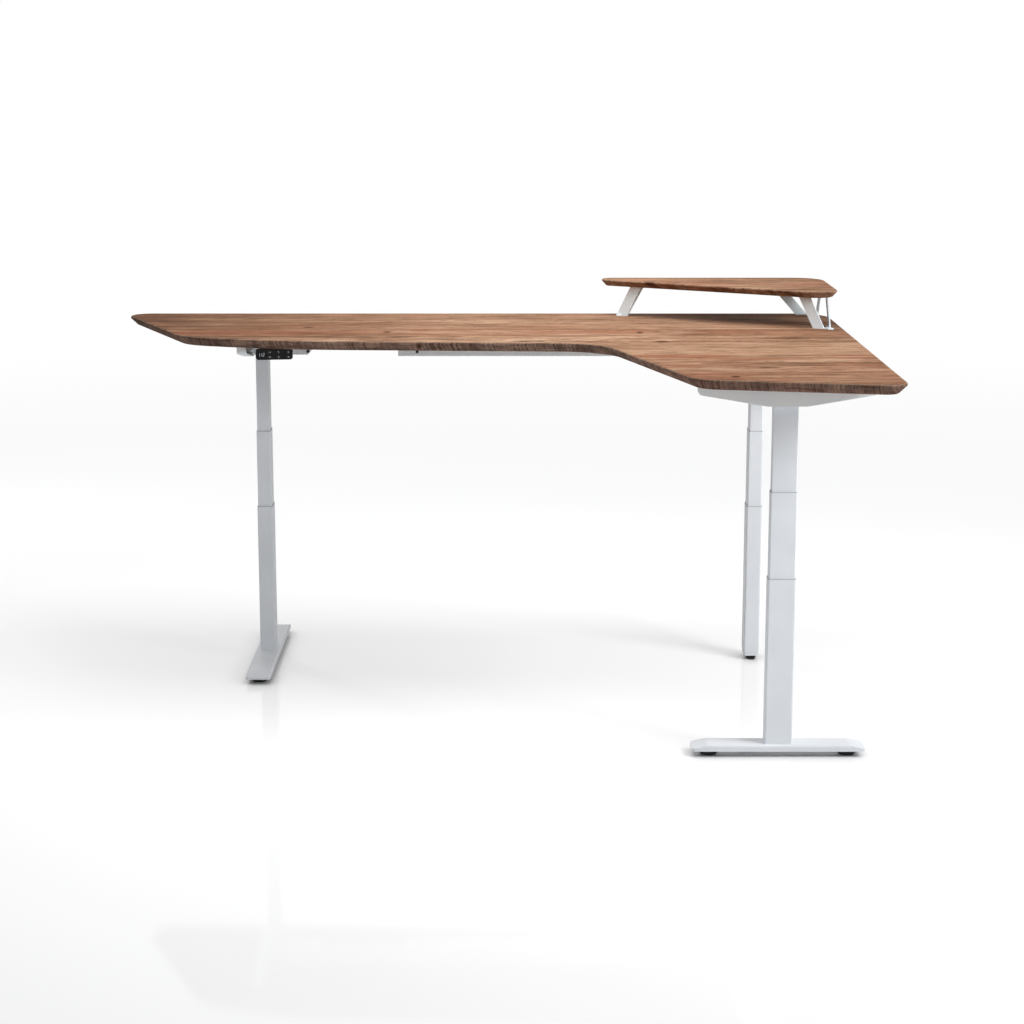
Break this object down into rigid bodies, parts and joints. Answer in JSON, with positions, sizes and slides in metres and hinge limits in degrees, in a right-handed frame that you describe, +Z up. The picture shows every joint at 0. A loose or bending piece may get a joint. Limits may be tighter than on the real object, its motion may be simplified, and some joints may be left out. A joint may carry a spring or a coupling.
{
  "type": "l-shaped standing desk",
  "caption": "L-shaped standing desk with a solid wood top, a triangular riser shelf on the corner and white telescoping electric legs",
  "frame": {"origin": "centre of the box that holds the desk, on the floor", "axes": "+X to the right along the long run as seen from the front, +Y to the back edge, +Z up"},
  "size_m": [2.3577, 1.7039, 1.241],
  "materials": {
    "oiled_wood": "solid reddish-brown planks with the grain along the long run, satin oil",
    "powder_coat": "very light grey powder coat, fine texture, satin",
    "guide_plastic": "grey moulded guide plastic",
    "glide_rubber": "black matte rubber",
    "screw_steel": "greased rolled screw steel",
    "motor_black": "black painted cast housing and motor can",
    "zinc_steel": "bright zinc plate",
    "black_bolt": "black oxide",
    "box_plastic": "black moulded housing, fine spark texture",
    "gloss_black": "piano black",
    "display_glass": "smoked display window",
    "key_black": "black push keys, slightly softer gloss"
  },
  "bodies": {
    "base": {"left_foot": "powder_coat", "corner_foot": "powder_coat", "right_foot": "powder_coat", "foot_bolts": "zinc_steel", "left_outer_tube": "powder_coat", "corner_outer_tube": "powder_coat", "right_outer_tube": "powder_coat", "left_lower_collar": "guide_plastic", "corner_lower_collar": "guide_plastic", "right_lower_collar": "guide_plastic", "left_fixed_screw": "screw_steel", "corner_fixed_screw": "screw_steel", "right_fixed_screw": "screw_steel"},
    "middle_left": {"left_middle_tube": "powder_coat", "left_upper_collar": "guide_plastic", "left_hollow_screw": "screw_steel"},
    "middle_corner": {"corner_middle_tube": "powder_coat", "corner_upper_collar": "guide_plastic", "corner_hollow_screw": "screw_steel"},
    "middle_right": {"right_middle_tube": "powder_coat", "right_upper_collar": "guide_plastic", "right_hollow_screw": "screw_steel"},
    "top": {"worktop": "oiled_wood", "shelf_board": "oiled_wood", "left_shelf_support": "powder_coat", "back_shelf_support": "powder_coat", "front_shelf_support": "powder_coat", "wood_screws": "zinc_steel", "left_inner_tube": "powder_coat", "corner_inner_tube": "powder_coat", "right_inner_tube": "powder_coat", "left_gear_motor": "motor_black", "corner_gear_motor": "motor_black", "right_gear_motor": "motor_black", "left_motor_housing": "powder_coat", "corner_motor_housing": "powder_coat", "right_motor_housing": "powder_coat", "left_side_bracket": "powder_coat", "right_side_bracket": "powder_coat", "bracket_bolts": "black_bolt", "main_rail_left": "powder_coat", "main_rail_right": "powder_coat", "return_rail": "powder_coat", "rail_clamp_screws": "black_bolt", "centre_tray": "powder_coat", "control_box": "box_plastic", "handset_case": "gloss_black", "handset_window": "display_glass"},
    "left_front_glide_body": {"left_front_glide": "glide_rubber"},
    "left_back_glide_body": {"left_back_glide": "glide_rubber"},
    "right_outer_glide_body": {"right_outer_glide": "glide_rubber"},
    "right_inner_glide_body": {"right_inner_glide": "glide_rubber"},
    "corner_front_glide_body": {"corner_front_glide": "glide_rubber"},
    "corner_back_glide_body": {"corner_back_glide": "glide_rubber"},
    "key_up_body": {"key_up": "key_black"},
    "key_one_body": {"key_one": "key_black"},
    "key_two_body": {"key_two": "key_black"},
    "key_down_body": {"key_down": "key_black"},
    "key_three_body": {"key_three": "key_black"},
    "key_set_body": {"key_set": "key_black"}
  },
  "joints": [
    {"name": "lift", "type": "slide", "parent": "base", "child": "top", "axis": [0, 0, 1], "range_m": [-0.5, 0.15]},
    {"name": "left_middle_lift", "type": "slide", "parent": "base", "child": "middle_left", "axis": [0, 0, 1], "range_m": [-0.25, 0.075]},
    {"name": "corner_middle_lift", "type": "slide", "parent": "base", "child": "middle_corner", "axis": [0, 0, 1], "range_m": [-0.25, 0.075]},
    {"name": "right_middle_lift", "type": "slide", "parent": "base", "child": "middle_right", "axis": [0, 0, 1], "range_m": [-0.25, 0.075]},
    {"name": "left_front_level", "type": "slide", "parent": "base", "child": "left_front_glide_body", "axis": [0, 0, -1], "range_m": [0, 0.008]},
    {"name": "left_back_level", "type": "slide", "parent": "base", "child": "left_back_glide_body", "axis": [0, 0, -1], "range_m": [0, 0.008]},
    {"name": "right_outer_level", "type": "slide", "parent": "base", "child": "right_outer_glide_body", "axis": [0, 0, -1], "range_m": [0, 0.008]},
    {"name": "right_inner_level", "type": "slide", "parent": "base", "child": "right_inner_glide_body", "axis": [0, 0, -1], "range_m": [0, 0.008]},
    {"name": "corner_front_level", "type": "slide", "parent": "base", "child": "corner_front_glide_body", "axis": [0, 0, -1], "range_m": [0, 0.008]},
    {"name": "corner_back_level", "type": "slide", "parent": "base", "child": "corner_back_glide_body", "axis": [0, 0, -1], "range_m": [0, 0.008]},
    {"name": "key_up_press", "type": "slide", "parent": "top", "child": "key_up_body", "axis": [-0.1392, 0.9903, 0], "range_m": [0, 0.0008], "stiffness_N_per_m": 900},
    {"name": "key_one_press", "type": "slide", "parent": "top", "child": "key_one_body", "axis": [-0.1392, 0.9903, 0], "range_m": [0, 0.0008], "stiffness_N_per_m": 900},
    {"name": "key_two_press", "type": "slide", "parent": "top", "child": "key_two_body", "axis": [-0.1392, 0.9903, 0], "range_m": [0, 0.0008], "stiffness_N_per_m": 900},
    {"name": "key_down_press", "type": "slide", "parent": "top", "child": "key_down_body", "axis": [-0.1392, 0.9903, 0], "range_m": [0, 0.0008], "stiffness_N_per_m": 900},
    {"name": "key_three_press", "type": "slide", "parent": "top", "child": "key_three_body", "axis": [-0.1392, 0.9903, 0], "range_m": [0, 0.0008], "stiffness_N_per_m": 900},
    {"name": "key_set_press", "type": "slide", "parent": "top", "child": "key_set_body", "axis": [-0.1392, 0.9903, 0], "range_m": [0, 0.0008], "stiffness_N_per_m": 900}
  ],
  "couplings": [
    {"joint": "left_middle_lift", "follows": "lift", "ratio": 0.5},
    {"joint": "corner_middle_lift", "follows": "lift", "ratio": 0.5},
    {"joint": "right_middle_lift", "follows": "lift", "ratio": 0.5}
  ]
}
